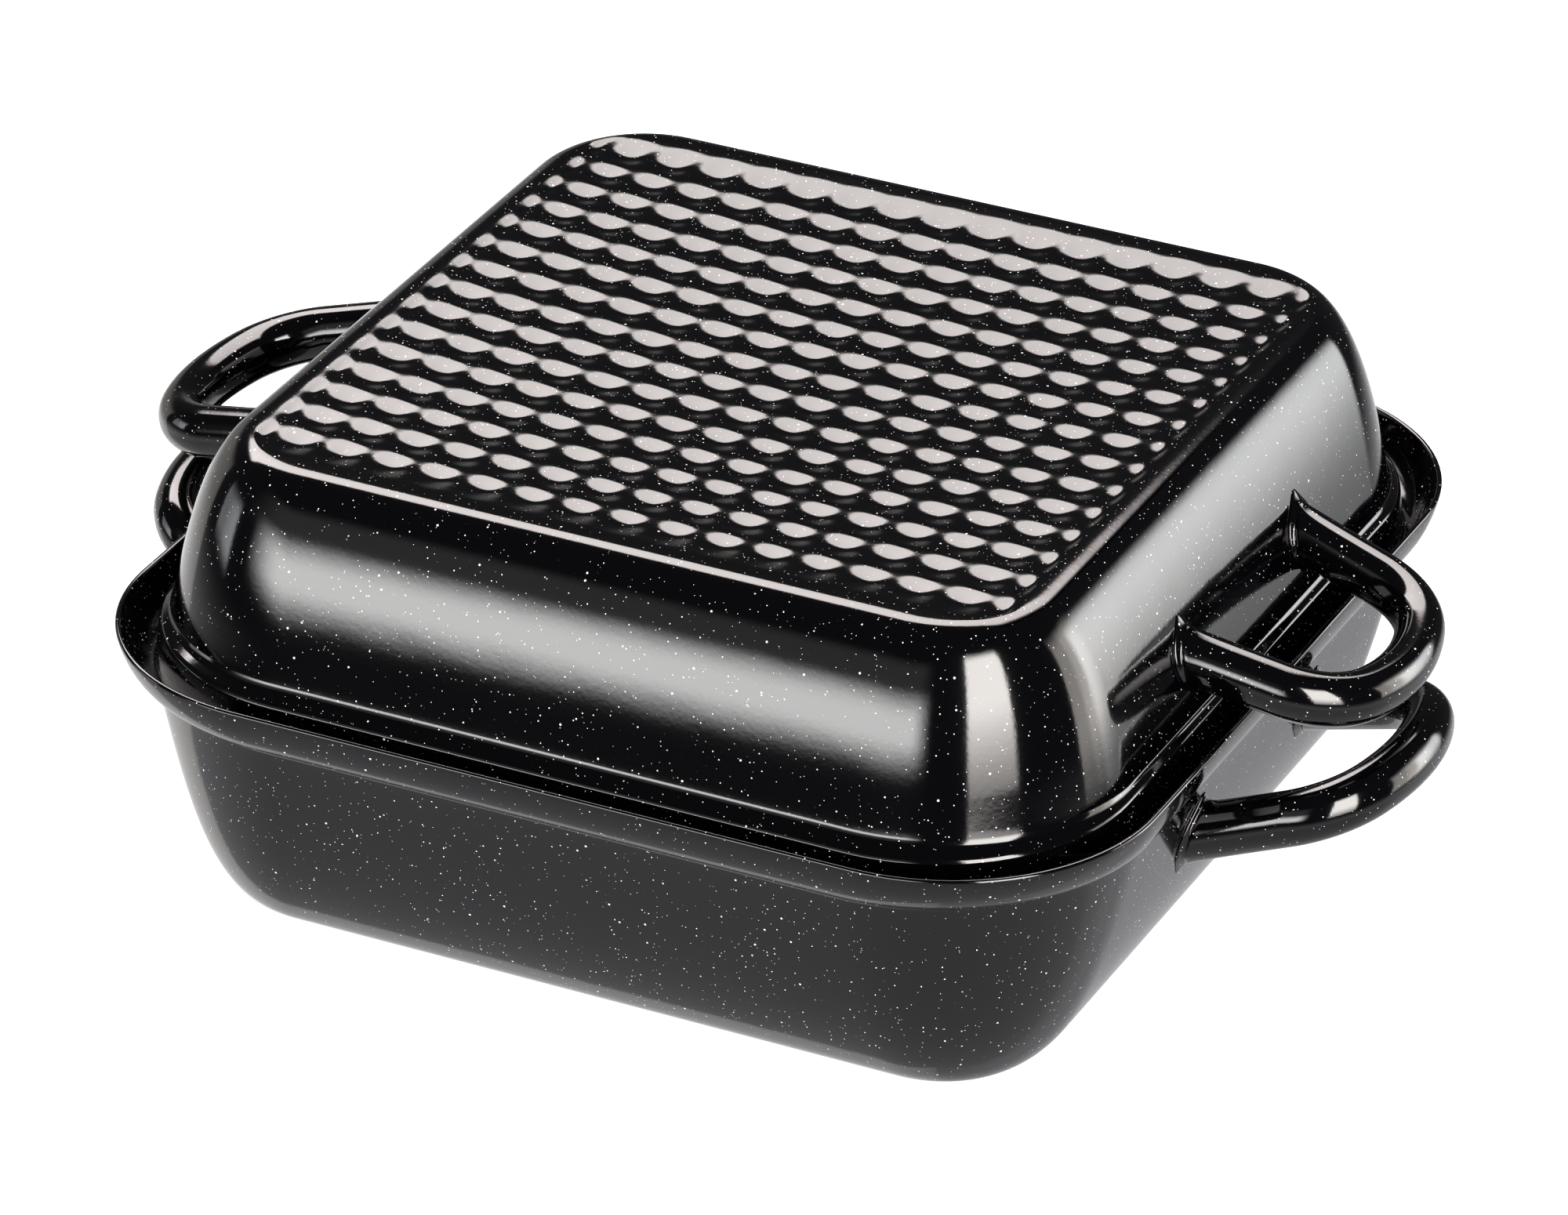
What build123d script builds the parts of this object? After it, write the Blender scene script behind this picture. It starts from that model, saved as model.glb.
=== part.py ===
from build123d import *
import os
from math import cos, radians, sin, sqrt, tan

# Square enamelled roasting pan, closed by a shallower grill pan turned upside down as its lid.
# Millimetres. The origin is the middle of the roaster's base, +Z up, handles on the -X and +X sides.
# Both pans are pressings with one offset profile: every horizontal outline is a rounded rectangle
# whose corner centres lie at (+-CORNER_X, +-CORNER_Y), so a section is drawn once, as (offset from
# the corner centre, height), then run along the four sides and turned about the four corners.

# ---- driving dimensions ----
CORNER_X = 91.0              # corner centres of both pans
CORNER_Y = 92.5
SHEET = 1.6                  # sheet steel with enamel on both faces

BASE_OFFSET = 18.0           # roaster: edge of the flat base
STEP_OFFSET = 52.7           # roaster: crease under the rim
STEP_HEIGHT = 69.3
WALL_DRAFT = 14.5            # degrees from vertical at the crease
SHOULDER_OFFSET = 53.5       # roaster: start of the lip, just outside the crease
SHOULDER_HEIGHT = 69.7
RIM_OFFSET = 60.0            # roaster: outer edge of the lip
RIM_HEIGHT = 82.5

TOP_HEIGHT = 137.7           # grill pan: its base, which faces up when it is the lid
TOP_OFFSET = 19.8
FOOT_OFFSET = 44.1           # grill pan: where the wall's curve ends in a straight run down
FOOT_HEIGHT = 92.5
LID_DRAFT = 11.0
HOLLOW_OFFSET = 48.84        # grill pan: centre and radius of the hollow bend below the wall
HOLLOW_HEIGHT = 87.0
HOLLOW_RADIUS = 3.6
SLOPE_TILT = 67.0            # degrees from upright of the short slope between the bend and the edge
EDGE_OFFSET = 48.73          # grill pan: centre and radius of the rounded edge
EDGE_HEIGHT = 80.86
EDGE_RADIUS = 2.1
SKIRT_OFFSET = 51.6          # bottom edge of the skirt, just over the roaster's shoulder
SKIRT_HEIGHT = 70.9

DIMPLE_PITCH = 14.0          # pressed dimples in the grill pan's base
DIMPLE_COUNT = 15            # along each side
DIMPLE_DEPTH = 1.4
DIMPLE_RADIUS = 5.8          # radius of each dimple's mouth

TUBE_HALF_WIDTH = 6.8        # handle tube, an upright oval
TUBE_HALF_HEIGHT = 7.7
TUBE_WALL = 1.4
HANDLE_REACH = 49.6          # wall to the middle of the tube at the outer end
LEG_CONVERGENCE = 9.0        # degrees, each leg towards the other
CORNER_BEND = 24.0           # radius of the loop's two corners
END_BEND = 58.0              # radius of its outer end
FOOT_FLARE_LENGTH = 11.0     # the tube widens upright over this length to meet the wall
FOOT_HALF_HEIGHT = 12.2
FOOT_HALF_WIDTH = 7.6

LID_HANDLE = {"wall": 133.2, "spread": 38.6, "height": 101.2, "tilt": -14.0}
ROASTER_HANDLE = {"wall": 138.3, "spread": 39.8, "height": 48.6, "tilt": 18.9}


def pressing(section):
    """Run an (offset, height) face along the sides and round the corners of the pan outline."""
    solid = None
    for side_x in (-1, 1):
        for side_y in (-1, 1):
            start = {(1, 1): 0, (-1, 1): 90, (-1, -1): 180, (1, -1): 270}[(side_x, side_y)]
            corner = revolve(Plane.XZ * section, axis=Axis.Z, revolution_arc=90)
            corner = corner.rotate(Axis.Z, start)
            corner = Pos(side_x * CORNER_X, side_y * CORNER_Y, 0) * corner
            solid = corner if solid is None else solid + corner
    for turn, reach, run in ((0, CORNER_X, CORNER_Y), (90, CORNER_Y, CORNER_X)):
        side = Pos(0, run, 0) * extrude(Plane.XZ * section, amount=2 * run, dir=(0, -1, 0))
        side = Pos(reach, 0, 0) * side
        for half_turn in (0, 180):
            solid = solid + side.rotate(Axis.Z, turn + half_turn)
    return solid


def middle_plate(low, high):
    """The part of a base between the four corner centres."""
    return Pos(0, 0, (low + high) / 2) * Box(2 * CORNER_X, 2 * CORNER_Y, high - low)


def round_arc(centre, radius, start, end):
    """Arc about a centre between two directions in degrees, 0 straight out and 90 up."""
    ends = [radians(degrees) for degrees in (start, (start + end) / 2, end)]
    return ThreePointArc(*[centre + Vector(cos(turn), sin(turn)) * radius for turn in ends])


def roaster_outline():
    """Outer line of the roaster's section, from the corner centre out and up to the rim."""
    draft = radians(WALL_DRAFT)
    step = Vector(STEP_OFFSET, STEP_HEIGHT)
    shoulder = Vector(SHOULDER_OFFSET, SHOULDER_HEIGHT)
    rim = Vector(RIM_OFFSET, RIM_HEIGHT)
    wall = Bezier(
        Vector(BASE_OFFSET, 0),
        Vector(BASE_OFFSET + 21.6, 0),
        step - Vector(sin(draft), cos(draft)) * 28.9,
        step,
    )
    lip = Bezier(shoulder, shoulder + Vector(3.6, 0.7), rim - Vector(1.2, 7.5), rim)
    return [Line((0, 0), (BASE_OFFSET, 0)), wall, Line(step, shoulder), lip]


def grill_pan_outline():
    """Outer line of the grill pan's section, upside down: base at the top, skirt at the bottom."""
    draft = radians(LID_DRAFT)
    foot = Vector(FOOT_OFFSET, FOOT_HEIGHT)
    down = Vector(sin(draft), -cos(draft))
    wall = Bezier(
        Vector(TOP_OFFSET, TOP_HEIGHT),
        Vector(TOP_OFFSET + 13.8, TOP_HEIGHT),
        foot - down * 13.9,
        foot,
    )
    hollow_centre = Vector(HOLLOW_OFFSET, HOLLOW_HEIGHT)
    hollow = round_arc(hollow_centre, HOLLOW_RADIUS, 180 + LID_DRAFT, 180 + SLOPE_TILT)
    edge = round_arc(Vector(EDGE_OFFSET, EDGE_HEIGHT), EDGE_RADIUS, SLOPE_TILT, 0)
    return [
        Line((0, TOP_HEIGHT), (TOP_OFFSET, TOP_HEIGHT)),
        wall,
        Line(foot, hollow @ 0),
        hollow,
        Line(hollow @ 1, edge @ 0),
        edge,
        Line(edge @ 1, Vector(SKIRT_OFFSET, SKIRT_HEIGHT)),
    ]


def smooth_curve(start, end, leaving, arriving, middle):
    """A cubic curve with the given ends and end directions that passes through a middle point."""
    bulge = (middle * 8 - start * 4 - end * 4) * (1 / 3)
    turn = leaving.X * arriving.Y - leaving.Y * arriving.X
    first_reach = (bulge.X * arriving.Y - bulge.Y * arriving.X) / turn
    last_reach = (bulge.X * leaving.Y - bulge.Y * leaving.X) / turn
    return Bezier(start, start + leaving * first_reach, end - arriving * last_reach, end)


def sheet_section(outline, side):
    """The outer line and, one sheet inside it, the inner line, closed into a face.

    side is 1 where the inside of the pan lies to the left of the outline, -1 to the right.
    """
    def inwards(edge, at):
        along = edge % at
        return Vector(-along.Y, along.X) * side

    def mitre(first, second):
        both = (inwards(first, 1) + inwards(second, 0)).normalized()
        return (first @ 1) + both * (SHEET / both.dot(inwards(first, 1)))

    ends = [(outline[0] @ 0) + inwards(outline[0], 0) * SHEET]
    ends += [mitre(first, second) for first, second in zip(outline, outline[1:])]
    ends += [(outline[-1] @ 1) + inwards(outline[-1], 1) * SHEET]
    inner = []
    for edge, start, end in zip(outline, ends, ends[1:]):
        middle = (edge @ 0.5) + inwards(edge, 0.5) * SHEET
        if isinstance(edge, Line):
            inner.append(Line(start, end))
        elif isinstance(edge, ThreePointArc):
            inner.append(ThreePointArc(start, middle, end))
        else:
            inner.append(smooth_curve(start, end, edge % 0, edge % 1, middle))
    closing = [Line(outline[0] @ 0, ends[0]), Line(outline[-1] @ 1, ends[-1])]
    return make_face(outline + inner + closing)


def pan_shell(section, low, high):
    """A pan of sheet: its section run round the outline, and the plate in the middle of its base."""
    return pressing(section) + middle_plate(low, high)


def filled_pan(outline):
    """The whole space inside a pan's outer line, for trimming handle feet against the wall."""
    base = outline[0] @ 0
    edge = outline[-1] @ 1
    closing = [Line(edge, (0, edge.Y)), Line((0, edge.Y), base)]
    low, high = sorted((base.Y, edge.Y))
    return pressing(make_face(outline + closing)) + middle_plate(low, high)


def dimple_places():
    """Centres of the square grid of dimples."""
    half = (DIMPLE_COUNT - 1) / 2
    steps = [(n - half) * DIMPLE_PITCH for n in range(DIMPLE_COUNT)]
    return [(x, y) for x in steps for y in steps]


def press_dimples(pan):
    """Dent the grill pan's base: hollows outside, and the same thickness of knobs inside."""
    ball = (DIMPLE_RADIUS**2 + DIMPLE_DEPTH**2) / (2 * DIMPLE_DEPTH)
    centre = TOP_HEIGHT - DIMPLE_DEPTH + ball
    inner_face = TOP_HEIGHT - SHEET
    dent = Pos(0, 0, centre) * Sphere(ball) & Pos(0, 0, TOP_HEIGHT) * Box(16, 16, 2 * DIMPLE_DEPTH)
    knob_bottom = inner_face - DIMPLE_DEPTH
    knob_slab = Pos(0, 0, (inner_face + knob_bottom) / 2) * Box(16, 16, inner_face - knob_bottom)
    knob = Pos(0, 0, centre) * Sphere(ball + SHEET) & knob_slab
    places = dimple_places()
    pan = pan + [Pos(x, y, 0) * knob for x, y in places]
    return pan - [Pos(x, y, 0) * dent for x, y in places]


def handle_path(spread):
    """Centre line of a handle loop, flat on XY: two converging legs, two corner bends, an end bend."""
    lean = radians(LEG_CONVERGENCE)
    end_x = HANDLE_REACH - END_BEND
    # centre of the corner bend: CORNER_BEND inside the leg, and touching the end bend from inside
    span = END_BEND - CORNER_BEND
    level = (spread * cos(lean) - CORNER_BEND) / cos(lean)
    slope = tan(lean)
    a = 1 + slope**2
    b = -2 * (end_x + level * slope)
    c = end_x**2 + level**2 - span**2
    bend_x = (-b + sqrt(b * b - 4 * a * c)) / (2 * a)
    bend_y = level - slope * bend_x
    leg_end = Vector(bend_x + CORNER_BEND * sin(lean), bend_y + CORNER_BEND * cos(lean))
    reach = Vector(bend_x - end_x, bend_y).normalized()
    corner_end = Vector(bend_x, bend_y) + reach * CORNER_BEND
    halfway = (reach + Vector(sin(lean), cos(lean))).normalized()
    corner_middle = Vector(bend_x, bend_y) + halfway * CORNER_BEND
    start = Vector(-6, spread + 6 * slope)
    other_side = [Vector(point.X, -point.Y) for point in (start, leg_end, corner_middle, corner_end)]
    other_start, other_leg_end, other_middle, other_corner_end = other_side
    return Wire([
        Line(start, leg_end),
        ThreePointArc(leg_end, corner_middle, corner_end),
        ThreePointArc(corner_end, Vector(HANDLE_REACH, 0), other_corner_end),
        ThreePointArc(other_corner_end, other_middle, other_leg_end),
        Line(other_leg_end, other_start),
    ])


def oval_bar(path, half_width, half_height):
    """An oval section swept along the handle's centre line."""
    plane = Plane(origin=path @ 0, x_dir=Vector(0, 0, 1), z_dir=path % 0)
    return sweep(plane * Ellipse(half_height, half_width), path=path)


def foot_flare(path, at_end, shrink):
    """The end of a leg, widened upright towards the wall, as a loft of two ovals."""
    place, along = (path @ 1, -(path % 1)) if at_end else (path @ 0, path % 0)
    sizes = ((6.0, FOOT_HALF_HEIGHT, FOOT_HALF_WIDTH), (6.0 + FOOT_FLARE_LENGTH, TUBE_HALF_HEIGHT, TUBE_HALF_WIDTH))
    ovals = []
    for distance, half_height, half_width in sizes:
        plane = Plane(origin=place + along * distance, x_dir=Vector(0, 0, 1), z_dir=along)
        ovals.append(plane * Ellipse(half_height - shrink, half_width - shrink))
    first = Plane(origin=place, x_dir=Vector(0, 0, 1), z_dir=along)
    ovals.insert(0, first * Ellipse(FOOT_HALF_HEIGHT + 1 - shrink, FOOT_HALF_WIDTH - shrink))
    return loft(ovals, ruled=True)


def handle(sizes, pan_space):
    """One hollow handle on the +X side, trimmed where its feet meet the pan's wall."""
    path = handle_path(sizes["spread"])
    loop = oval_bar(path, TUBE_HALF_WIDTH, TUBE_HALF_HEIGHT)
    hollow = oval_bar(path, TUBE_HALF_WIDTH - TUBE_WALL, TUBE_HALF_HEIGHT - TUBE_WALL)
    for at_end in (False, True):
        loop += foot_flare(path, at_end, 0)
        hollow += foot_flare(path, at_end, TUBE_WALL)
    place = Pos(sizes["wall"], 0, sizes["height"]) * Rot(0, -sizes["tilt"], 0)
    return place * (loop - hollow) - pan_space


def write(name, shape):
    """One STEP file for each piece."""
    solids = shape.solids()
    export_step(solids[0] if len(solids) == 1 else Compound(children=solids), f"parts/{name}.step")


def main():
    os.makedirs("parts", exist_ok=True)
    roaster = pan_shell(sheet_section(roaster_outline(), 1), 0, SHEET)
    grill_pan = pan_shell(sheet_section(grill_pan_outline(), -1), TOP_HEIGHT - SHEET, TOP_HEIGHT)
    write("roaster_body", roaster)
    write("grill_pan_body", press_dimples(grill_pan))
    roaster_space = filled_pan(roaster_outline())
    grill_pan_space = filled_pan(grill_pan_outline())
    for pan, sizes, space in (
        ("roaster", ROASTER_HANDLE, roaster_space),
        ("grill_pan", LID_HANDLE, grill_pan_space),
    ):
        right = handle(sizes, space)
        write(f"{pan}_handle_right", right)
        write(f"{pan}_handle_left", right.rotate(Axis.Z, 180))


main()
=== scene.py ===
import math

import bmesh
import bpy
import numpy as np
from mathutils import Matrix, Vector


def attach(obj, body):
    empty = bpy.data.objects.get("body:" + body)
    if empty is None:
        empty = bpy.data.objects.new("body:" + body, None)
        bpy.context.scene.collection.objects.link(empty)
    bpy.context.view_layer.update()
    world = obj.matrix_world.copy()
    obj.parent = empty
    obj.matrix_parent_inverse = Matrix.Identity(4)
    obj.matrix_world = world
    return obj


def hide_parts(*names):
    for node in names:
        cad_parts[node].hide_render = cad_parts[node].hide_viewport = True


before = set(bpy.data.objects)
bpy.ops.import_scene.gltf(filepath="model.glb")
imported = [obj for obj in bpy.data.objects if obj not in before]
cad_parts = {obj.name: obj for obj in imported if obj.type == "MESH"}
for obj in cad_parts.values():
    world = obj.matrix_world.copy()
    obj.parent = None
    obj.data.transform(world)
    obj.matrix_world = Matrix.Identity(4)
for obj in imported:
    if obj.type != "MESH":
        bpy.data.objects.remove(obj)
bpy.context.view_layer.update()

# The object's lengths are millimetres in the CAD frame, and its meshes are written in metres.
# A pan's outline is a line of (half depth, height) points. At each half depth the pan is a rounded
# rectangle: half width = half depth + side gap, and the corner radius follows the half depth too.
MM = 0.001
SHEET = 1.6

BASE_HALF = 110.5              # roaster: edge of the flat base
BASE_PULL = 21.6               # the wall's curve leaves the base and reaches the crease this firmly
WALL_PULL = 28.9
WALL_DRAFT = math.radians(14.55)  # from upright, where the wall reaches the crease
STEP = (145.2, 69.3)           # roaster: crease under the rim
SHOULDER = (146.0, 69.7)       # roaster: where the lip starts, just outside the crease
RIM = (152.4, 82.4)
LIP_START_PULL = (2.6, 1.5)    # the lip's curve leaves the shoulder and reaches the rim this way
LIP_END_PULL = (1.2, 7.5)
ROASTER_BLUR = 0.5             # bends of the outline are rounded by a blur of this width
ROASTER_CORNERS = {
    "at": (110.5, 145.2, 152.4),
    "gap": (-1.6, -1.6, -1.9),
    "radius": (16.1, 60.7, 60.0),
}

TOP = 137.7                    # grill pan: its base, which faces up when it is the lid
TOP_HALF = 112.27
TOP_PULL = 13.8                # the wall's curve leaves the base and reaches its foot this firmly
FOOT_PULL = 13.9
FOOT = (136.45, 92.5)          # grill pan: where the wall's curve ends in a straight run down
LID_DRAFT = math.radians(11.0)  # from upright, at the foot
HOLLOW = (141.34, 87.0)        # grill pan: centre and radius of the hollow bend below the wall
HOLLOW_RADIUS = 3.6
SLOPE_TILT = math.radians(67)  # the short slope between the hollow bend and the rounded edge
EDGE = (140.2, 80.5)           # grill pan: centre and radius of the rounded edge
EDGE_RADIUS = 2.8
SKIRT = (144.1, 70.9)          # grill pan: bottom of the skirt, inside the roaster's lip
LID_BLUR = 0.35
LID_CORNERS = {
    "at": (112.27, 137.2, 143.3),
    "gap": (0.65, 0.65, -1.9),
    "radius": (24.1, 53.8, 57.5),
}

PITCH = 14.0
DIMPLE_EDGE = 7.5 * PITCH      # half the width of the 15 by 15 pattern
FADE_X = (6.5, 3.5)            # the pattern dies out this far past its edge, over this run
FADE_Y = (2.8, 5.0)
DIMPLE_WAVE = 0.31             # amplitude of each of the two crossing waves
DIMPLE_KNOB = 0.16             # amplitude of their product, which deepens the hollows
SAG = 3.2                      # the middle of the lid lies this much lower than its edge

TUBE_HALF_WIDTH = 6.8
TUBE_HALF_HEIGHT = 7.7
HANDLE_REACH = 49.6            # wall to the middle of the tube at the outer end
CONVERGENCE = math.radians(9.0)  # each leg of a loop leans this much towards the other
CORNER_BEND = 24.0             # radius of a loop's two corners
END_BEND = 58.0                # radius of its outer end
TUBE_POINTS = 48
FLARE_WIDTH = (0.5, 3.0)       # growth of the tube at the wall, and the run over which it dies out
FLARE_HEIGHT = (0.4, 5.0)
PINCH = (0.35, 3.0)            # share by which top and bottom narrow at the wall, and its run
SPUR = (2.4, 1.8)              # points up and down at the wall, and their run
BEAD = (0.75, 0.3, 0.55)       # weld bead: height, distance from the wall, width
GROOVE = (0.3, 1.7, 0.5)       # groove beyond the bead, likewise
SETTLE_RUN = 14.0              # rings of the leg turn from the wall's slope to square over this run
LEG_RINGS = (                  # distances of a leg's rings from the wall
    -0.6, -0.1, 0.15, 0.4, 0.7, 1.0, 1.3, 1.6, 1.9,
    2.3, 2.8, 3.4, 4.2, 5.2, 6.5, 8.2, 10.5, 13.5,
)
# a loop starts at this distance from the middle and this height, its legs spread this far each way;
# its feet don't follow the wall's outline below the lowest height
LID_HANDLE = {"wall": 133.2, "spread": 38.6, "height": 101.2, "tilt": -14.0, "lowest": 91.6}
LID_HANDLE_LEFT = LID_HANDLE | {"wall": 133.7, "height": 102.0}
ROASTER_HANDLE = {"wall": 138.3, "spread": 39.8, "height": 48.0, "tilt": 18.9, "lowest": 0.0}
ROASTER_HANDLE_LEFT = ROASTER_HANDLE | {"wall": 136.8, "height": 47.6}

SPECKS = (                     # sizes of white dots: spacing, radius and shift of each layer
    (1.6, 0.13, (0.3, 0.7, 0.1)),
    (2.5, 0.22, (5.3, 2.7, 8.1)),
    (5.5, 0.36, (3.3, 9.7, 4.1)),
)
SPECK_CORE = 0.55              # share of a dot's radius that is fully white
RIPPLES = ((16.0, 0.05), (1.5, 0.008))  # wavelength and depth of the enamel's unevenness


# =====================================================================
# outlines
# =====================================================================
LINE_STEP = 0.2                # spacing of an outline's points before it is thinned out
LONGEST_STEP = 4.0             # the points kept lie no further apart than this
LARGEST_TURN = math.radians(3.5)  # and turn no more than this from one to the next
EDGE_CUTS = 8                  # steps round the sheet's free edge


def bezier(p0, p1, p2, p3, count):
    t = np.linspace(0, 1, count)[:, None]
    p0, p1, p2, p3 = (np.asarray(p, float) for p in (p0, p1, p2, p3))
    return (1 - t) ** 3 * p0 + 3 * (1 - t) ** 2 * t * p1 + 3 * (1 - t) * t**2 * p2 + t**3 * p3


def smooth_step(value):
    """0 below 0, 1 above 1, smoothly between."""
    value = min(max(value, 0), 1)
    return value * value * (3 - 2 * value)


def resample(points):
    """The same line with evenly spaced points."""
    keep = np.concatenate([[True], np.hypot(*np.diff(points, axis=0).T) > 1e-9])
    points = points[keep]
    along = np.concatenate([[0], np.cumsum(np.hypot(*np.diff(points, axis=0).T))])
    at = np.linspace(0, along[-1], max(2, int(round(along[-1] / LINE_STEP)) + 1))
    return np.stack([np.interp(at, along, points[:, k]) for k in (0, 1)], axis=1)


def soften(points, width):
    """Round the corners of a resampled line by a Gaussian blur, with both ends held."""
    reach = int(4 * width / LINE_STEP)
    kernel = np.exp(-0.5 * (np.arange(-reach, reach + 1) * LINE_STEP / width) ** 2)
    kernel /= kernel.sum()
    head = 2 * points[0] - points[reach:0:-1]
    tail = 2 * points[-1] - points[-2:-reach - 2:-1]
    padded = np.concatenate([head, points, tail])
    return np.stack([np.convolve(padded[:, k], kernel, "valid") for k in (0, 1)], axis=1)


def inward(points, side):
    """Unit normals on the pan's inner side: side is 1 for an upright pan, -1 for one upside down."""
    along = np.gradient(points, axis=0)
    along /= np.linalg.norm(along, axis=1)[:, None]
    return np.stack([-along[:, 1], along[:, 0]], axis=1) * side


def thin_out(points, normals):
    """Indices of the points worth keeping: closer together where the line bends."""
    angles = np.unwrap(np.arctan2(normals[:, 1], normals[:, 0]))
    kept = [0]
    for k in range(1, len(points) - 1):
        run = np.linalg.norm(points[k + 1] - points[kept[-1]])
        if abs(angles[k + 1] - angles[kept[-1]]) > LARGEST_TURN or run > LONGEST_STEP:
            kept.append(k)
    return kept + [len(points) - 1]


def roaster_outline():
    step, rim, shoulder = np.array(STEP), np.array(RIM), np.array(SHOULDER)
    below = step - np.array([math.sin(WALL_DRAFT), math.cos(WALL_DRAFT)]) * WALL_PULL
    return np.concatenate([
        bezier((BASE_HALF, 0), (BASE_HALF + BASE_PULL, 0), below, step, 60),
        [shoulder],
        bezier(shoulder, shoulder + LIP_START_PULL, rim - LIP_END_PULL, rim, 30),
    ])


def arc_points(centre, radius, start, end):
    turn = np.linspace(start, end, 24)
    return np.asarray(centre) + radius * np.stack([np.cos(turn), np.sin(turn)], axis=1)


def lid_outline():
    foot = np.array(FOOT)
    above = foot + np.array([-math.sin(LID_DRAFT), math.cos(LID_DRAFT)]) * FOOT_PULL
    bend = arc_points(HOLLOW, HOLLOW_RADIUS, math.pi + LID_DRAFT, math.pi + SLOPE_TILT)
    edge = arc_points(EDGE, EDGE_RADIUS, SLOPE_TILT, 0)
    return np.concatenate([
        bezier((TOP_HALF, TOP), (TOP_HALF + TOP_PULL, TOP), above, foot, 60),
        bend,
        edge,
        [SKIRT],
    ])


# =====================================================================
# pan skins: a grid between the corner centres of the base, then rings out to the rim and back
# =====================================================================
SIDE_CELLS = 176               # fine columns along each side of the lid's base
CORNER_CELLS = 24
COARSE = 22                    # fine columns to one wide column where the sides are straight


def column_starts():
    """For every fine column: where it starts on the base's inner rectangle, and its direction."""
    last = SIDE_CELLS
    sides = (
        (0, lambda k: (last, k)),
        (90, lambda k: (last - k, last)),
        (180, lambda k: (0, last - k)),
        (270, lambda k: (k, 0)),
    )
    cells, headings = [], []
    for heading, cell_of in sides:
        angle = math.radians(heading)
        for k in range(last):
            cells.append(cell_of(k))
            headings.append(angle)
        for k in range(CORNER_CELLS):
            cells.append(cell_of(last))
            headings.append(angle + math.pi / 2 * k / CORNER_CELLS)
    spots = np.array(cells) * 2 / last - 1
    return cells, spots, np.stack([np.cos(headings), np.sin(headings)], axis=1)


CELLS, SPOTS, DIRECTIONS = column_starts()
PER_SIDE = SIDE_CELLS + CORNER_CELLS


def columns_every(step):
    """Every step-th column on the sides, with all of the corner columns (every other for step 2)."""
    in_corner = 2 if step == 2 else 1
    return [
        c for c in range(len(CELLS))
        if (c % PER_SIDE < SIDE_CELLS and c % PER_SIDE % step == 0)
        or (c % PER_SIDE >= SIDE_CELLS and (c % PER_SIDE - SIDE_CELLS) % in_corner == 0)
    ]


def add_faces(faces, near, far):
    """Faces between two rings. Either ring may leave out some of the other's columns."""
    shared = sorted(set(near) & set(far))
    total = len(CELLS)
    for this, after in zip(shared, shared[1:] + shared[:1]):
        stop = after if after > this else after + total
        run = range(this, stop + 1)
        below = [near[c % total] for c in run if c % total in near]
        above = [far[c % total] for c in run if c % total in far]
        loop = below + above[::-1]
        trimmed = [v for k, v in enumerate(loop) if v != loop[k - 1]]
        if len(trimmed) > 2:
            faces.append(trimmed)


def lid_relief(x, y):
    """Height of the lid's pressed pattern and its sag: hollows lie at whole pitches."""
    fade = 1.0
    for place, (reach, run) in ((x, FADE_X), (y, FADE_Y)):
        fade *= smooth_step((DIMPLE_EDGE + reach - abs(place)) / run)
    wave_x, wave_y = math.cos(2 * math.pi * x / PITCH), math.cos(2 * math.pi * y / PITCH)
    hollow = DIMPLE_WAVE * (wave_x + wave_y + 2) + DIMPLE_KNOB * (wave_x * wave_y + 1)
    level = (1 - min(1.0, abs(x) / TOP_HALF) ** 2) * (1 - min(1.0, abs(y) / TOP_HALF) ** 2)
    return -fade * hollow - SAG * level


def no_relief(x, y):
    return 0.0


def new_object(name, points, faces, material):
    mesh = bpy.data.meshes.new(name)
    mesh.from_pydata([tuple(np.array(p) * MM) for p in points], [], faces)
    mesh.validate()
    work = bmesh.new()
    work.from_mesh(mesh)
    bmesh.ops.recalc_face_normals(work, faces=work.faces[:])
    work.to_mesh(mesh)
    work.free()
    mesh.polygons.foreach_set("use_smooth", [True] * len(mesh.polygons))
    mesh.materials.append(material)
    obj = bpy.data.objects.new(name, mesh)
    bpy.context.scene.collection.objects.link(obj)
    return obj


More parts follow.
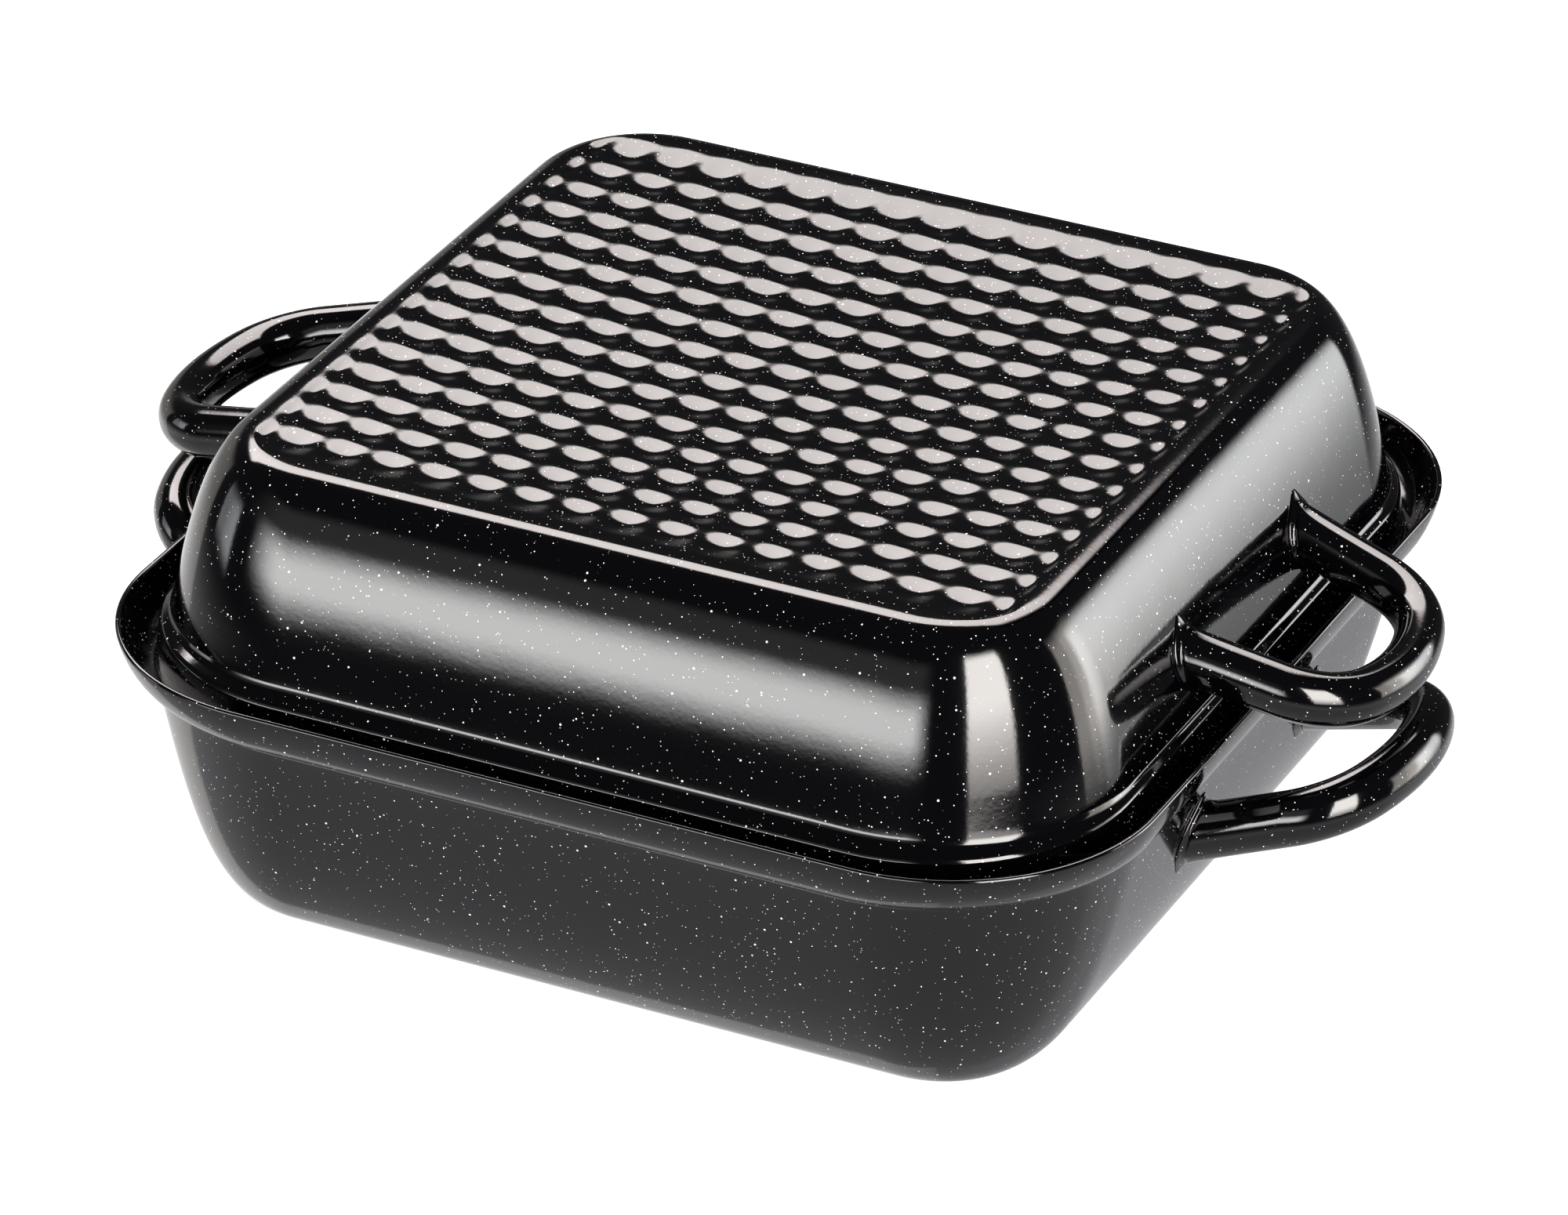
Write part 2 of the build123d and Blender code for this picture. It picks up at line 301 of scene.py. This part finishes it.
def pan_object(name, outline, corners, side, blur, relief, material):
    """A closed pressed sheet, and the (half width, half depth, corner radius, height) of its outside."""
    line = soften(resample(outline), blur)
    normals = inward(line, side)
    kept = thin_out(line, normals)
    radius = np.interp(line[:, 0], corners["at"], corners["radius"])
    gap = np.interp(line[:, 0], corners["at"], corners["gap"])
    outer = np.column_stack([line[:, 0] + gap, line[:, 0], radius, line[:, 1]])
    # a move sideways changes both half sizes and the corner radius alike
    through = normals[:, [0, 0, 0, 1]] * SHEET
    inner = outer + through
    ahead = ((line[-1] - line[-3]) / np.linalg.norm(line[-1] - line[-3]))[[0, 0, 0, 1]]
    middle = (outer[-1] + inner[-1]) / 2
    free_edge = [
        middle - through[-1] / 2 * math.cos(angle) + ahead * SHEET / 2 * math.sin(angle)
        for angle in np.linspace(0, math.pi, EDGE_CUTS + 1)[1:-1]
    ]
    points, faces = [], []
    wide = columns_every(COARSE)

    def ring(columns, sizes, height_change):
        half_x, half_y, corner, height = sizes
        ids = {}
        for c in columns:
            x = SPOTS[c][0] * (half_x - corner) + DIRECTIONS[c][0] * corner
            y = SPOTS[c][1] * (half_y - corner) + DIRECTIONS[c][1] * corner
            ids[c] = len(points)
            points.append((x, y, height + height_change(x, y)))
        return ids

    def base(edge, step):
        """The flat of a base, out to the sizes of its edge, on every step-th column."""
        half_x, half_y, corner, height = edge
        picks = range(0, SIDE_CELLS + 1, step)
        ids = {}
        for i in picks:
            for j in picks:
                x = (half_x - corner) * (2 * i / SIDE_CELLS - 1)
                y = (half_y - corner) * (2 * j / SIDE_CELLS - 1)
                ids[i, j] = len(points)
                points.append((x, y, height + relief(x, y)))
        for i, i2 in zip(picks, picks[1:]):
            for j, j2 in zip(picks, picks[1:]):
                faces.append([ids[i, j], ids[i2, j], ids[i2, j2], ids[i, j2]])
        columns = columns_every(step)
        last = {c: ids[CELLS[c]] for c in columns}
        rings = max(2, int(round(corner / step))) if step < COARSE else 3
        for part in np.linspace(0, 1, rings + 1)[1:]:
            sizes = (half_x - corner * (1 - part), half_y - corner * (1 - part), corner * part, height)
            after = ring(columns, sizes, relief)
            add_faces(faces, last, after)
            last = after
        return last

    outer_step, inner_step = (COARSE, COARSE) if relief is no_relief else (1, 2)
    last = base(outer[0], outer_step)
    for sizes in [outer[k] for k in kept[1:]] + free_edge + [inner[k] for k in kept[:0:-1]]:
        after = ring(wide, sizes, no_relief)
        add_faces(faces, last, after)
        last = after
    add_faces(faces, last, base(inner[0], inner_step))
    return new_object(name, points, faces, material), outer


# =====================================================================
# handles
# =====================================================================
def handle_track(spread):
    """Half of a loop's bends in its own plane, as (out from the wall, across) points."""
    slope = math.tan(CONVERGENCE)
    end_x = HANDLE_REACH - END_BEND
    span = END_BEND - CORNER_BEND
    level = spread - CORNER_BEND / math.cos(CONVERGENCE)
    a = 1 + slope**2
    b = -2 * (end_x + level * slope)
    c = end_x**2 + level**2 - span**2
    bend_x = (-b + math.sqrt(b * b - 4 * a * c)) / (2 * a)
    bend_y = level - slope * bend_x
    first = math.pi / 2 - CONVERGENCE
    last = math.atan2(bend_y, bend_x - end_x)
    corner = [
        (bend_x + CORNER_BEND * math.cos(t), bend_y + CORNER_BEND * math.sin(t))
        for t in np.linspace(first, last, 22)
    ]
    end = [
        (end_x + END_BEND * math.cos(t), END_BEND * math.sin(t))
        for t in np.linspace(last, 0, 12)[1:]
    ]
    return np.array(corner + end)


def dying(value, run, travel):
    """value at the wall, less and less with travel from it."""
    return value * math.exp(-travel / run)


def swelling(height, middle, width, travel):
    """A rounded swelling round the leg, its middle that far from the wall."""
    return height * math.exp(-((travel - middle) / width) ** 2)


def handle_object(name, sizes, pan_outside, material):
    """One loop on the +X side: its feet follow the wall, with a weld bead and a spur up and down."""
    track = handle_track(sizes["spread"])
    leg_start = np.array([0.0, sizes["spread"]])
    leg_length = np.linalg.norm(track[0] - leg_start)
    leg = (track[0] - leg_start) / leg_length
    tilt = math.radians(sizes["tilt"])
    out = np.array([math.cos(tilt), 0.0, math.sin(tilt)])
    across = np.array([0.0, 1.0, 0.0])
    upright = np.array([-math.sin(tilt), 0.0, math.cos(tilt)])
    origin = np.array([sizes["wall"], 0.0, sizes["height"]])
    order = np.argsort(pan_outside[:, 3])
    heights, widths = pan_outside[order, 3], pan_outside[order, 0]
    theta = np.arange(TUBE_POINTS) * 2 * math.pi / TUBE_POINTS
    sideways, upwards = np.cos(theta), np.sin(theta)

    def leg_ring(travel):
        """Ring on the leg; near the wall it takes the wall's slope."""
        near = max(travel, 0.0)
        spur = dying(*SPUR, near)
        bead = swelling(*BEAD, travel)
        groove = swelling(*GROOVE, travel)
        half_w = TUBE_HALF_WIDTH + dying(*FLARE_WIDTH, near) + bead - groove
        half_h = TUBE_HALF_HEIGHT + dying(*FLARE_HEIGHT, near) + bead - groove
        narrow = 1 - dying(*PINCH, near) * np.abs(upwards) ** 4
        side = half_w * sideways * narrow
        rise = half_h * upwards + spur * np.sign(upwards) * np.abs(upwards) ** 9
        along = out * leg[0] + across * leg[1]
        beside = across * leg[0] - out * leg[1]
        start_at = origin + out * leg_start[0] + across * leg_start[1]
        ring = start_at + np.outer(side, beside) + np.outer(rise, upright)
        shift = np.zeros(TUBE_POINTS)
        for _ in range(12):
            at = ring + np.outer(shift, along)
            wall = np.interp(np.maximum(at[:, 2], sizes["lowest"]), heights, widths)
            shift += (wall - at[:, 0]) / along[0]
        settle = smooth_step(travel / SETTLE_RUN)
        return ring + np.outer(travel + shift * (1 - settle), along)

    def bend_ring(at, heading):
        beside = across * heading[0] - out * heading[1]
        centre = origin + out * at[0] + across * at[1]
        side = np.outer(TUBE_HALF_WIDTH * sideways, beside)
        return centre + side + np.outer(TUBE_HALF_HEIGHT * upwards, upright)

    rings = [leg_ring(t) for t in LEG_RINGS if t < leg_length - 1]
    whole = np.concatenate([track, track[-2::-1] * (1, -1)])
    headings = np.gradient(whole, axis=0)
    headings /= np.linalg.norm(headings, axis=1)[:, None]
    headings[0] = leg
    rings += [bend_ring(at, heading) for at, heading in zip(track, headings)]
    rings += [ring * (1, -1, 1) for ring in rings[-2::-1]]
    points = [p for ring in rings for p in ring]
    count = TUBE_POINTS
    faces = []
    for k in range(len(rings) - 1):
        for m in range(count):
            n = (m + 1) % count
            faces.append([k * count + m, k * count + n, (k + 1) * count + n, (k + 1) * count + m])
    faces.append(list(range(count))[::-1])
    faces.append([(len(rings) - 1) * count + m for m in range(count)])
    return new_object(name, points, faces, material)


# =====================================================================
# enamel
# =====================================================================
def enamel():
    material = bpy.data.materials.new("speckled_enamel")
    material.use_nodes = True
    nodes, links = material.node_tree.nodes, material.node_tree.links
    shader = nodes["Principled BSDF"]
    shader.inputs["Roughness"].default_value = 0.08
    shader.inputs["IOR"].default_value = 1.5
    place = nodes.new("ShaderNodeTexCoord")

    def speck_layer(cell, radius, offset):
        """White dots, one in every cell of a scattered grid."""
        shifted = nodes.new("ShaderNodeMapping")
        shifted.inputs["Location"].default_value = offset
        shifted.inputs["Scale"].default_value = (1 / cell / MM,) * 3
        links.new(place.outputs["Object"], shifted.inputs["Vector"])
        cells = nodes.new("ShaderNodeTexVoronoi")
        cells.inputs["Scale"].default_value = 1.0
        links.new(shifted.outputs["Vector"], cells.inputs["Vector"])
        edge = nodes.new("ShaderNodeMapRange")
        edge.inputs["From Min"].default_value = radius / cell
        edge.inputs["From Max"].default_value = radius / cell * SPECK_CORE
        links.new(cells.outputs["Distance"], edge.inputs["Value"])
        return edge.outputs["Result"]

    total = None
    for cell, radius, offset in SPECKS:
        layer = speck_layer(cell, radius, offset)
        if total is not None:
            join = nodes.new("ShaderNodeMath")
            join.operation = "MAXIMUM"
            links.new(total, join.inputs[0])
            links.new(layer, join.inputs[1])
            layer = join.outputs[0]
        total = layer
    mix = nodes.new("ShaderNodeMix")
    mix.data_type = "RGBA"
    mix.inputs["A"].default_value = (0.0005, 0.0005, 0.0008, 1)  # enamel
    mix.inputs["B"].default_value = (0.75, 0.75, 0.73, 1)        # specks
    links.new(total, mix.inputs["Factor"])
    links.new(mix.outputs["Result"], shader.inputs["Base Color"])
    bump = None
    for wavelength, depth in RIPPLES:
        noise = nodes.new("ShaderNodeTexNoise")
        noise.inputs["Scale"].default_value = 1 / wavelength / MM
        noise.inputs["Detail"].default_value = 1.0
        links.new(place.outputs["Object"], noise.inputs["Vector"])
        layer = nodes.new("ShaderNodeBump")
        layer.inputs["Strength"].default_value = 1.0
        layer.inputs["Distance"].default_value = depth * MM
        links.new(noise.outputs["Fac"], layer.inputs["Height"])
        if bump is not None:
            links.new(bump.outputs["Normal"], layer.inputs["Normal"])
        bump = layer
    links.new(bump.outputs["Normal"], shader.inputs["Normal"])
    return material


ENAMEL = enamel()


# =====================================================================
# build
# =====================================================================
roaster, roaster_outside = pan_object(
    "roaster_shell", roaster_outline(), ROASTER_CORNERS, 1, ROASTER_BLUR, no_relief, ENAMEL)
lid, lid_outside = pan_object(
    "grill_pan_shell", lid_outline(), LID_CORNERS, -1, LID_BLUR, lid_relief, ENAMEL)
for pan, body in ((roaster, "roaster"), (lid, "grill_pan")):
    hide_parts(f"{body}_body")
    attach(pan, body)

for body, sizes, left_sizes, outside in (
    ("roaster", ROASTER_HANDLE, ROASTER_HANDLE_LEFT, roaster_outside),
    ("grill_pan", LID_HANDLE, LID_HANDLE_LEFT, lid_outside),
):
    right = handle_object(f"{body}_tube_right", sizes, outside, ENAMEL)
    left = handle_object(f"{body}_tube_left", left_sizes, outside, ENAMEL)
    left.data.transform(Matrix.Rotation(math.pi, 4, "Z"))
    for tube, hand in ((right, "right"), (left, "left")):
        node = f"{body}_handle_{hand}"
        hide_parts(node)
        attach(tube, body)


# =====================================================================
# camera: from here on lengths are metres
# =====================================================================
CAMERA_TURN = math.radians(25.50)
CAMERA_RISE = math.radians(28.77)
CAMERA_ROLL = math.radians(0.62)
CAMERA_DISTANCE = 2.390
CAMERA_AIM = Vector((0.0247, -0.0546, 0.0957))
CAMERA_LENS = 205.2            # mm, for a sensor 36 mm wide

turn_sin, turn_cos = math.sin(CAMERA_TURN), math.cos(CAMERA_TURN)
rise_sin, rise_cos = math.sin(CAMERA_RISE), math.cos(CAMERA_RISE)
roll_sin, roll_cos = math.sin(CAMERA_ROLL), math.cos(CAMERA_ROLL)
level_right = Vector((turn_cos, turn_sin, 0))
level_up = Vector((-turn_sin * rise_sin, turn_cos * rise_sin, rise_cos))
back_way = Vector((turn_sin * rise_cos, -turn_cos * rise_cos, rise_sin))
rolled_right = roll_cos * level_right + roll_sin * level_up
rolled_up = roll_cos * level_up - roll_sin * level_right
camera_data = bpy.data.cameras.new("camera")
camera_data.lens = CAMERA_LENS
camera_data.sensor_width = 36.0
camera_data.clip_end = 50
camera = bpy.data.objects.new("camera", camera_data)
camera_axes = Matrix((rolled_right, rolled_up, back_way)).transposed().to_4x4()
camera.matrix_world = Matrix.Translation(CAMERA_AIM + back_way * CAMERA_DISTANCE) @ camera_axes
bpy.context.scene.collection.objects.link(camera)
bpy.context.scene.camera = camera


# =====================================================================
# floor and lights
# =====================================================================
def node_tools(tree):
    """Short ways to join nodes in one tree: arithmetic, a smooth ramp and a product."""
    def arithmetic(operation, first, second=None):
        node = tree.nodes.new("ShaderNodeMath")
        node.operation = operation
        for socket, value in zip(node.inputs, (first, second)):
            if isinstance(value, (int, float)):
                socket.default_value = value
            elif value is not None:
                tree.links.new(value, socket)
        return node.outputs[0]

    def ramp(value, start, end, low=0.0, high=1.0):
        """low at start, high at end, smoothly between."""
        node = tree.nodes.new("ShaderNodeMapRange")
        node.interpolation_type = "SMOOTHSTEP"
        if start > end:
            start, end, low, high = end, start, high, low
        node.inputs["From Min"].default_value = start
        node.inputs["From Max"].default_value = end
        node.inputs["To Min"].default_value = low
        node.inputs["To Max"].default_value = high
        tree.links.new(value, node.inputs["Value"])
        return node.outputs["Result"]

    def product(*factors):
        total = factors[0]
        for factor in factors[1:]:
            total = arithmetic("MULTIPLY", total, factor)
        return total

    return arithmetic, ramp, product


def flat_card(name, corners):
    """A stage rectangle that isn't part of the object, and its shader."""
    mesh = bpy.data.meshes.new(name)
    mesh.from_pydata(corners, [], [(0, 1, 2, 3)])
    material = bpy.data.materials.new(name)
    material.use_nodes = True
    shader = material.node_tree.nodes["Principled BSDF"]
    shader.inputs["Specular IOR Level"].default_value = 0.0
    mesh.materials.append(material)
    card = bpy.data.objects.new(name, mesh)
    bpy.context.scene.collection.objects.link(card)
    return card, shader


floor, floor_shader = flat_card("floor", [(-6, -6, 0), (6, -6, 0), (6, 6, 0), (-6, 6, 0)])
floor_shader.inputs["Base Color"].default_value = (0.4, 0.4, 0.4, 1)
floor_shader.inputs["Roughness"].default_value = 0.9
floor_shader.inputs["Emission Color"].default_value = (1, 1, 1, 1)
floor_shader.inputs["Emission Strength"].default_value = 0.85
floor.location.z = -0.0002     # just under the roaster's base
floor.visible_glossy = False


def overhead_softbox():
    """A glowing card over the lid and behind it, soft at its borders and brightest at the front."""
    height = 1.14
    corners = [(x, y, height) for x, y in ((-1.8, 0.2), (-1.8, 1.5), (0.5, 1.5), (0.5, 0.2))]
    card, shader = flat_card("overhead_softbox", corners)
    card.visible_camera = False
    shader.inputs["Base Color"].default_value = (0, 0, 0, 1)
    shader.inputs["Emission Color"].default_value = (1.0, 0.93, 0.91, 1)
    tree = shader.id_data
    _, ramp, product = node_tools(tree)
    place = tree.nodes.new("ShaderNodeTexCoord")
    parts = tree.nodes.new("ShaderNodeSeparateXYZ")
    tree.links.new(place.outputs["Object"], parts.inputs[0])
    x, y = parts.outputs["X"], parts.outputs["Y"]
    borders = product(ramp(x, -1.75, -1.45), ramp(x, 0.38, 0.2), ramp(y, 0.26, 0.34), ramp(y, 1.46, 1.24))
    strength = product(borders, ramp(y, 1.3, 0.3, 8.0, 13.0))
    tree.links.new(strength, shader.inputs["Emission Strength"])


overhead_softbox()


def studio_world():
    """Softboxes, reflectors and the table far away, as brightness by direction in degrees."""
    world = bpy.data.worlds.new("studio")
    world.use_nodes = True
    nodes, links = world.node_tree.nodes, world.node_tree.links
    arithmetic, ramp, product = node_tools(world.node_tree)

    direction = nodes.new("ShaderNodeTexCoord").outputs["Generated"]
    parts = nodes.new("ShaderNodeSeparateXYZ")
    links.new(direction, parts.inputs[0])
    turn_way = arithmetic("ARCTAN2", parts.outputs["Y"], parts.outputs["X"])
    azimuth = arithmetic("MULTIPLY", turn_way, 180 / math.pi)
    rise = arithmetic("MULTIPLY", arithmetic("ARCSINE", parts.outputs["Z"]), 180 / math.pi)

    # each light's colour and brightness; a ramp says where a border starts and where it is full
    lights = {
        "window": (
            (1.0, 0.955, 0.92),
            product(ramp(azimuth, -51, -48.5), ramp(azimuth, -19.5, -23),
                    ramp(rise, 46, 36), ramp(rise, -9, -7), ramp(rise, -12, 14, 3.6, 20.5)),
        ),
        "front glow": (
            (1.0, 1.0, 0.99),
            product(ramp(azimuth, -147, -119), ramp(azimuth, -72, -85),
                    ramp(rise, -4.5, 4), ramp(rise, 21, 8), 13.0),
        ),
        "front veil": (
            (1.0, 1.0, 1.0),
            product(ramp(azimuth, -160, -122), ramp(azimuth, -72, -85),
                    ramp(rise, 8, 16), ramp(rise, 40, 30), 0.45),
        ),
        "left panel": (
            (0.93, 0.97, 1.0),
            product(ramp(azimuth, -159.5, -162), ramp(azimuth, -162, -176, 3.6, 1.4),
                    ramp(rise, -9, -4), ramp(rise, 13, 4)),
        ),
        "back left": (
            (1.0, 0.96, 0.9),
            product(ramp(azimuth, 168.5, 166), ramp(azimuth, 110, 120),
                    ramp(azimuth, 125, 165, 0.3, 0.65), ramp(rise, 14, 3)),
        ),
        "right strip": (
            (1.0, 0.95, 0.89),
            product(ramp(azimuth, 20, 22, 0.0, 3.9), ramp(azimuth, 29, 34, 1.0, 1.5),
                    ramp(azimuth, 60, 41), ramp(rise, -18, -8), ramp(rise, 28, 14)),
        ),
        "right panel": (
            (0.98, 0.99, 1.0),
            product(ramp(azimuth, 36, 42), ramp(azimuth, 65, 60),
                    ramp(rise, -22, 8, 0.1, 6.7), ramp(rise, 21, 10)),
        ),
        "table": ((1.0, 1.0, 1.03), product(ramp(rise, -8, -28), ramp(rise, -34, -20, 0.6, 1.0))),
    }
    total = None
    for colour, value in lights.values():
        scaled = nodes.new("ShaderNodeVectorMath")
        scaled.operation = "SCALE"
        scaled.inputs[0].default_value = colour
        links.new(value, scaled.inputs["Scale"])
        join = nodes.new("ShaderNodeVectorMath")
        join.operation = "ADD"
        links.new(scaled.outputs[0], join.inputs[0])
        if total is None:
            join.inputs[1].default_value = (0.05, 0.05, 0.052)  # the dim studio between the lights
        else:
            links.new(total, join.inputs[1])
        total = join.outputs[0]

    # the camera itself sees a plain pale backdrop past the floor
    seen = nodes.new("ShaderNodeLightPath").outputs["Is Camera Ray"]
    choose = nodes.new("ShaderNodeMix")
    choose.data_type = "RGBA"
    links.new(seen, choose.inputs["Factor"])
    links.new(total, choose.inputs["A"])
    choose.inputs["B"].default_value = (0.95, 0.95, 0.95, 1)
    links.new(choose.outputs["Result"], nodes["Background"].inputs["Color"])
    return world


bpy.context.scene.world = studio_world()
bpy.context.scene.view_settings.view_transform = "Standard"
